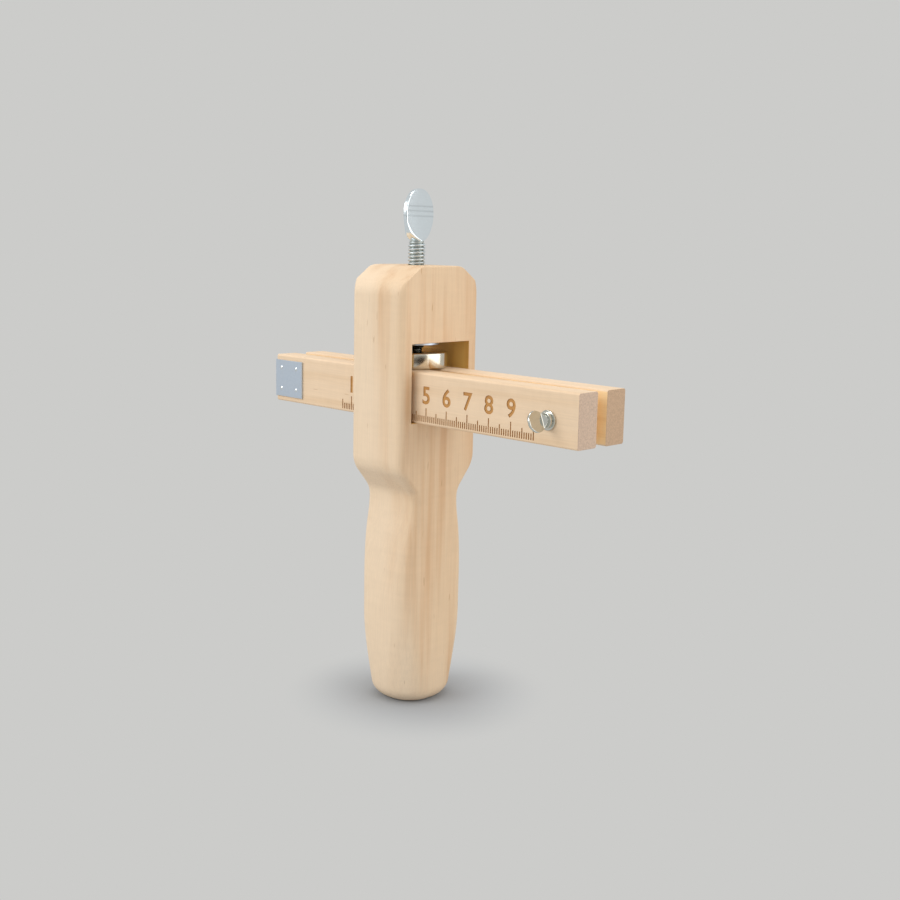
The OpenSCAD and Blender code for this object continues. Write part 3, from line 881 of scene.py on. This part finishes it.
def both_arms(front_wood, rear_wood, inside, burnt):
    """Front arm with its pin holes and burnt scale, and rear arm with the recess of its tee nut."""
    face = box_mm("front_arm")[0].y
    pins = [rod("pin_hole", PIN_HOLE_R, (x, face - PAST, z), BACK, PIN_DEEP + PAST)
            for x, z in pin_places()]
    front = wooden_arm("front_bar", "front_arm", front_wood, inside, arm_cutters("front_arm") + pins, 1)
    carve(front, [width_scale()], burnt)
    even_faces(front)
    back = box_mm("rear_arm")[1].y
    screw = middle_mm("adjust_screw")
    nut = [rod("nut_hole", r, (screw.x, back - deep, screw.z), BACK, deep + PAST)
           for r, deep in ((NUT_RECESS_R, NUT_RECESS_DEEP), (NUT_HOLE_R, NUT_HOLE_DEEP))]
    rear = wooden_arm("rear_bar", "rear_arm", rear_wood, inside, arm_cutters("rear_arm") + nut, -1)
    even_faces(rear)


def blade_cover(material):
    """Stamped cover plate with eased edges, held by four pins."""
    low, high = box_mm("blade_plate")
    piece = block("blade_cover", low, high)
    piece.data.materials.append(material)
    ease_edges(piece, PLATE_EASE)
    length = high.y - low.y + 2 * PAST
    holes = [rod("pin_hole", PIN_HOLE_R, (x, low.y - PAST, z), BACK, length) for x, z in pin_places()]
    carve(piece, holes, material)
    even_faces(piece)
    stand_for(piece, "blade_plate", "front_arm")


def cover_pins(material):
    """Four driven pins with blunt tips and domed heads."""
    low, high = box_mm("plate_pins")
    length = high.y - low.y
    neck = length - PIN_HEAD_H
    dome = (PIN_HEAD_R ** 2 + PIN_HEAD_H ** 2) / (2 * PIN_HEAD_H)
    rings = [circle(PIN_R / 2, 0), circle(PIN_R, PIN_R), circle(PIN_R, neck), circle(PIN_HEAD_R, neck)]
    rings += [circle(reach, length - sag(dome, reach)) for reach in spread(PIN_HEAD_R, PIN_TOP_R, PIN_STEPS)]
    shape = bmesh.new()
    for x, z in pin_places():
        pin = loft("pin", rings, facing_front(x, high.y, z))
        shape.from_mesh(pin.data)
        bpy.data.objects.remove(pin)
    piece = new_piece("cover_pins", shape)
    piece.data.materials.append(material)
    stand_for(piece, "plate_pins", "front_arm")


def swivel_pad(material):
    """Round pad with rounded rims, hollow underneath for the screw's headed tip."""
    low, high = box_mm("pressure_pad")
    web = high.z - PAD_WEB
    rings = rim(high.x, low.z, high.z, PAD_ROUND)
    rings += [circle(PAD_HOLE_R, high.z), circle(PAD_HOLE_R, web)]
    rings += [circle(PAD_SOCKET_R, web), circle(PAD_SOCKET_R, low.z)]
    piece = loft("swivel_pad", rings, closed=True)
    piece.data.materials.append(material)
    stand_for(piece, "pressure_pad", "pressure_pad")


def shoulder_washer(material):
    """Washer between the small screw's shoulder and the arm."""
    low, high = box_mm("adjust_washer")
    middle = middle_mm("adjust_washer")
    thick = high.y - low.y
    rings = rim((high.x - low.x) / 2, 0, thick, WASHER_ROUND)
    rings += [circle(WASHER_HOLE_R, thick), circle(WASHER_HOLE_R, 0)]
    piece = loft("shoulder_washer", rings, facing_front(middle.x, high.y, middle.z), closed=True)
    piece.data.materials.append(material)
    stand_for(piece, "adjust_washer", "front_arm")


def clamp_thumb_screw(head_finish, thread_finish, dark_in_mortise):
    """The 1/4 inch screw on top: headed tip in the pad, thread, neck and spade head. The thread is darker
    below the mortise's ceiling."""
    low, high = box_mm("clamp_screw")
    pad_top = box_mm("pressure_pad")[1].z
    foot = box_mm("handle")[1].z + CLAMP_SHOW
    tip = low.z
    rings = rim(TIP_HEAD_R, tip, tip + TIP_HEAD_H, TIP_EASE)
    rings += [circle(TIP_R, tip + TIP_HEAD_H), circle(TIP_R, pad_top)]
    rings += thread(CLAMP_R, CLAMP_PITCH, pad_top + PLAIN_AT_SEAT, foot - PLAIN_AT_END)
    rings += spade_head(foot, high.z, CLAMP_HEAD_D, CLAMP_HEAD_T, CLAMP_NECK_R, CLAMP_TAPER, CLAMP_EDGE,
                        CLAMP_LEAN)
    piece = loft("clamp_thumb_screw", rings, Matrix.Rotation(CLAMP_TURN, 4, "Z"))
    for finish in (head_finish, thread_finish, dark_in_mortise):
        piece.data.materials.append(finish)
    for face in piece.data.polygons:
        z = face.center.z / MM
        face.material_index = (z < foot) + (z < MORTISE_HIGH)
    stand_for(piece, "clamp_screw", "clamp_screw")


def adjust_thumb_screw(material):
    """The small screw in the arms: thread, round shoulder and spade head."""
    low, high = box_mm("adjust_screw")
    axis = middle_mm("adjust_screw")
    tip = -high.y
    collar = -box_mm("adjust_washer")[0].y
    neck = collar + COLLAR_H
    rings = [circle(ADJUST_TIP_R, tip)]
    rings += thread(ADJUST_R, ADJUST_PITCH, tip + PLAIN_AT_END, collar - PLAIN_AT_SEAT)
    rings += rim(COLLAR_R, collar, neck, COLLAR_EASE)
    rings += spade_head(neck, -low.y, ADJUST_HEAD_D, ADJUST_HEAD_T, ADJUST_NECK_R, ADJUST_TAPER, ADJUST_EDGE)
    place = facing_front(axis.x, 0, axis.z) @ Matrix.Rotation(ADJUST_TURN, 4, "Z")
    piece = loft("adjust_thumb_screw", rings, place)
    piece.data.materials.append(material)
    stand_for(piece, "adjust_screw", "adjust_screw")


def studio_air():
    """Even soft light from all round, a plain grey background, and a dark room low down to the front right
    that shows only in polished metal."""
    world = bpy.data.worlds.new("studio")
    bpy.context.scene.world = world
    world.use_nodes = True
    tree = world.node_tree
    tree.nodes.clear()
    rays = add(tree, "ShaderNodeLightPath")
    seen = rays.outputs["Is Camera Ray"]
    for kind in ("Is Glossy Ray", "Is Transmission Ray"):
        seen = add(tree, "ShaderNodeMath", {0: seen, 1: rays.outputs[kind]}, operation="MAXIMUM").outputs[0]
    air = add(tree, "ShaderNodeBackground", {"Color": linear(AIR_COLOUR), "Strength": AIR_STRENGTH})
    backdrop = add(tree, "ShaderNodeBackground", {"Color": linear(BACKDROP), "Strength": 1})
    shown = add(tree, "ShaderNodeMixShader", {0: seen, 1: air.outputs[0], 2: backdrop.outputs[0]})
    way = add(tree, "ShaderNodeTexCoord")
    tall = add(tree, "ShaderNodeVectorMath", {0: way.outputs["Generated"], 1: DARK_ROOM_STRETCH},
               operation="MULTIPLY")
    aside = add(tree, "ShaderNodeVectorMath", {0: tall.outputs[0], 1: DARK_ROOM_WAY}, operation="DISTANCE")
    full, edge = DARK_ROOM_EDGES
    share = add(tree, "ShaderNodeMapRange", {"Value": aside.outputs["Value"], "From Min": full,
                                             "From Max": edge, "To Min": 1, "To Max": 0})
    share = add(tree, "ShaderNodeMath", {0: share.outputs[0], 1: rays.outputs["Is Glossy Ray"]},
                operation="MULTIPLY")
    room = add(tree, "ShaderNodeBackground", {"Color": linear(DARK_ROOM), "Strength": 1})
    shown = add(tree, "ShaderNodeMixShader", {0: share.outputs[0], 1: shown.outputs[0], 2: room.outputs[0]})
    add(tree, "ShaderNodeOutputWorld", {"Surface": shown.outputs[0]})


def soft_boxes():
    """Large soft lamps at the front left, above and at the back right."""
    for name, place, size, power in SOFT_BOXES:
        lamp = bpy.data.lights.new(name, "AREA")
        lamp.shape = "SQUARE"
        lamp.size = size
        lamp.energy = power
        box = bpy.data.objects.new(name, lamp)
        box.location = place
        box.rotation_euler = (LAMP_AIM - Vector(place)).to_track_quat("-Z", "Y").to_euler()
        bpy.context.scene.collection.objects.link(box)


def paper_floor():
    """Matt paper floor that takes the shadow near the handle, with a darker grey there that adds painted
    shadow, and runs into the plain grey further out.
    """
    half = FLOOR_SIZE / 2
    mesh = bpy.data.meshes.new("floor")
    corners = [(-half, -half, 0), (half, -half, 0), (half, half, 0), (-half, half, 0)]
    mesh.from_pydata(corners, [], [(0, 1, 2, 3)])
    floor = bpy.data.objects.new("floor", mesh)
    bpy.context.scene.collection.objects.link(floor)
    material, tree, shader = new_material("matt_paper_floor")
    place = add(tree, "ShaderNodeTexCoord").outputs["Object"]
    away = add(tree, "ShaderNodeVectorMath", {0: place, 1: FLOOR_SHADE_MIDDLE}, operation="DISTANCE")
    far = add(tree, "ShaderNodeMapRange",
              {"Value": away.outputs["Value"], "From Min": FLOOR_SHADED, "From Max": FLOOR_PLAIN},
              interpolation_type="SMOOTHSTEP")
    plain = add(tree, "ShaderNodeEmission", {"Color": linear(BACKDROP), "Strength": 1})
    shader.inputs["Base Color"].default_value = linear(FLOOR_PAINTED_SHADOW_GREY)
    shader.inputs["Roughness"].default_value = FLOOR_ROUGHNESS
    shader.inputs["Specular IOR Level"].default_value = 0
    shown = add(tree, "ShaderNodeMixShader", {0: far.outputs[0], 1: shader.outputs[0], 2: plain.outputs[0]})
    tree.links.new(shown.outputs[0], tree.nodes["Material Output"].inputs["Surface"])
    floor.data.materials.append(material)


def aim_camera():
    """Camera at the photograph's place and angle."""
    yaw, pitch, roll = CAMERA_YAW, CAMERA_PITCH, CAMERA_ROLL
    ahead = Vector((-math.sin(yaw) * math.cos(pitch), math.cos(yaw) * math.cos(pitch), -math.sin(pitch)))
    right = Vector((math.cos(yaw), math.sin(yaw), 0))
    up = right.cross(ahead)
    tilted_right = math.cos(roll) * right + math.sin(roll) * up
    tilted_up = math.cos(roll) * up - math.sin(roll) * right
    lens = bpy.data.cameras.new("camera")
    lens.sensor_width = SENSOR_MM
    lens.lens = CAMERA_FOCUS_PX / PICTURE_PX * SENSOR_MM
    lens.clip_start = CAMERA_NEAR
    camera = bpy.data.objects.new("camera", lens)
    turned = Matrix((tilted_right, tilted_up, -ahead)).transposed().to_4x4()
    camera.matrix_world = Matrix.Translation(CAMERA_PLACE) @ turned
    bpy.context.scene.collection.objects.link(camera)
    bpy.context.scene.camera = camera


bpy.context.scene.view_settings.view_transform = "Standard"
aim_camera()
studio_air()
soft_boxes()
paper_floor()

# Wood: the handle's heartwood lies to the right and back, and its top shows no pores: only its faces
# that face down get the duller, pored ground of cut ends, which there is partly painted shade under the
# head.
# Inside the mortise and the slot, the sawn wood is painted a stronger amber: painted bounce light that
# stands for the light that goes from wall to wall.
handle_heart = {"heart_side": (0.75, 0.75, 0.13), "heart_from": 13}
arm_heart = {"heart_side": (0.2, 0.3, 0), "heart_from": 20}
# Only the handle's faces that face down get the end ground: cut ends, and partly painted shade under the
# head.
handle_wood = limewood("sanded_limewood_handle", "XYZ", sap="EAD2B4", heart="E2C4A0", streak="D2A87E",
                       end="DEC6AA", end_share=0.5, below_only=True, **handle_heart)
# Mortise: the sawn wood's amber is painted bounce light.
mortise_wood_painted_bounce = limewood("sawn_limewood_mortise_painted_bounce", "XYZ", sap="E6C270", heart="E2BA68", streak="D19A48",
                        end="C79654", end_share=0.5, **handle_heart)
front_wood = limewood("planed_limewood_front_arm", "YZX", sap="ECD7BF", heart="E9CEAE", streak="DFC09B",
                      end="C9AE97", end_share=1.0, **arm_heart)
rear_wood = limewood("planed_limewood_rear_arm", "YZX", sap="ECD7BF", heart="E9CEAE", streak="DFC09B",
                     end="BF9F80", end_share=1.0, **arm_heart)
# Slot and holes in the arms: the sawn wood's amber is painted bounce light.
slot_wood_painted_bounce = limewood("sawn_limewood_slot_painted_bounce", "YZX", sap="FFE4BA", heart="FADAA8", streak="EAC48C",
                     end="DDB88C", end_share=0.5, **arm_heart)
burnt_wood = limewood("burnt_limewood_marks", "YZX", sap="CE9A58", heart="C48F4E", streak="B88042",
                      end="AC7C48", end_share=0.6, **arm_heart)

# Metal: bright nickel on the pad and the small screw, bluish zinc on the big one, satin zinc on the plate.
# The two colours are followed by the roughness where it is least and most worn, and the sizes of clouds and
# hair lines.
# The pad's nickel is warmer than the small screw's: its own colour plus painted amber light that bounces
# from the mortise.
pad_nickel_painted_bounce = plated_steel("cast_nickel_plate", "E2DBCC", "D2CAB8", (0.12, 0.2), cloud_mm=2.5, hair_mm=0.12)
screw_nickel = plated_steel("polished_nickel_plate", "D9DAD3", "CACBC3", (0.06, 0.14),
                            cloud_mm=2.5, hair_mm=0.12)
head_zinc = plated_steel("bright_zinc_head", "F2FAFF", "EAF4FA", (0.14, 0.24), cloud_mm=2.5, hair_mm=0.12)
# Forging lines drawn as painted shade on the head's faces.
score_lines(head_zinc, [box_mm("clamp_screw")[1].z - CLAMP_HEAD_D / 2 + line for line in CLAMP_LINES])
thread_zinc = plated_steel("rolled_zinc_thread", "E2EAEE", "D0D9DE", (0.38, 0.5), cloud_mm=1.2, hair_mm=0.12)
# Painted shade in the thread's grooves.
dirty_grooves(thread_zinc, CLAMP_R - THREAD_DEPTH * CLAMP_PITCH, CLAMP_R)
# Darker steel for the thread below the mortise's ceiling.
thread_dark_in_mortise = plated_steel("dark_steel_thread_in_mortise", "5A5C58", "454743", (0.2, 0.34), cloud_mm=1.2, hair_mm=0.12)
plate_zinc = plated_steel("satin_zinc_plate", "D6E0EC", "C4D0DE", (0.34, 0.46), cloud_mm=1.6, hair_mm=0.15)
pin_zinc = plated_steel("drawn_zinc_pins", "E6ECF0", "D4DCE2", (0.22, 0.34), cloud_mm=0.8, hair_mm=0.1)
blade_steel = plated_steel("ground_blade_steel", "B9BDC2", "A4A9AF", (0.2, 0.35), cloud_mm=1.2, hair_mm=0.08)

shaped_handle(handle_wood, mortise_wood_painted_bounce)
both_arms(front_wood, rear_wood, slot_wood_painted_bounce, burnt_wood)
swivel_pad(pad_nickel_painted_bounce)
finish_node("clamp_tee_nut", plate_zinc, CLAMP_NUT_EASE)
finish_node("blade", blade_steel, BLADE_EASE)
blade_cover(plate_zinc)
cover_pins(pin_zinc)
shoulder_washer(screw_nickel)
finish_node("adjust_tee_nut", plate_zinc, ADJUST_NUT_EASE)
clamp_thumb_screw(head_zinc, thread_zinc, thread_dark_in_mortise)
adjust_thumb_screw(screw_nickel)
